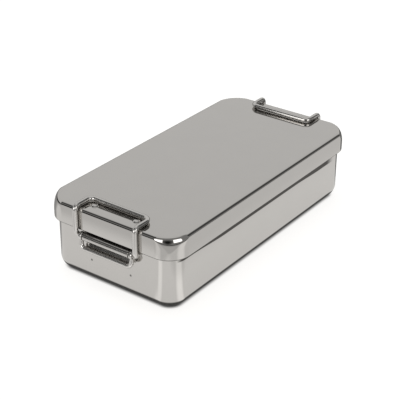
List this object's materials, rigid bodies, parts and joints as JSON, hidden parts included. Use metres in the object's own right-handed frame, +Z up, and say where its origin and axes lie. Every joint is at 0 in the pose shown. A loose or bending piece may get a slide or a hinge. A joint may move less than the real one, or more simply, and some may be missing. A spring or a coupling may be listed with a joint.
{
  "type": "instrument box",
  "caption": "Shallow rounded steel tray with a lift-off skirted lid, held shut at each short end by a hinged wire bail over the lid, with a small wire drop handle below it.",
  "frame": {"origin": "on the surface the box stands on, under the middle of the box", "axes": "+X along the box's length towards the rear closure, +Y across its width, +Z up"},
  "size_m": [0.207, 0.1, 0.0535],
  "materials": {
    "tray": "polished stainless steel sheet",
    "lid": "polished stainless steel sheet",
    "bracket_front": "polished stainless steel strip",
    "bail_front": "polished stainless steel spring wire",
    "handle_front": "polished stainless steel wire",
    "bracket_rear": "polished stainless steel strip",
    "bail_rear": "polished stainless steel spring wire",
    "handle_rear": "polished stainless steel wire"
  },
  "bodies": {
    "base": {"tray": "tray", "bracket_front": "bracket_front", "bracket_rear": "bracket_rear"},
    "lid": {"lid": "lid"},
    "bail_front": {"bail_front": "bail_front"},
    "bail_rear": {"bail_rear": "bail_rear"},
    "handle_front": {"handle_front": "handle_front"},
    "handle_rear": {"handle_rear": "handle_rear"}
  },
  "joints": [
    {"name": "bail_front_swing", "type": "hinge", "parent": "base", "child": "bail_front", "pos_m": [-0.1003, 0, 0.0324], "axis": [0, -1, 0], "range_deg": [0, 165]},
    {"name": "bail_rear_swing", "type": "hinge", "parent": "base", "child": "bail_rear", "pos_m": [0.1003, 0, 0.0324], "axis": [0, 1, 0], "range_deg": [0, 165]},
    {"name": "lid_lift", "type": "slide", "parent": "base", "child": "lid", "axis": [0, 0, 1], "range_m": [0, 0.014]},
    {"name": "handle_front_swing", "type": "hinge", "parent": "base", "child": "handle_front", "pos_m": [-0.1003, 0, 0.0324], "axis": [0, 1, 0], "range_deg": [0, 150]},
    {"name": "handle_rear_swing", "type": "hinge", "parent": "base", "child": "handle_rear", "pos_m": [0.1003, 0, 0.0324], "axis": [0, -1, 0], "range_deg": [0, 150]}
  ],
  "couplings": [
    {"joint": "bail_front_swing", "follows": "lid_lift", "rad_per_m": 205.3},
    {"joint": "bail_rear_swing", "follows": "lid_lift", "rad_per_m": 205.3}
  ]
}
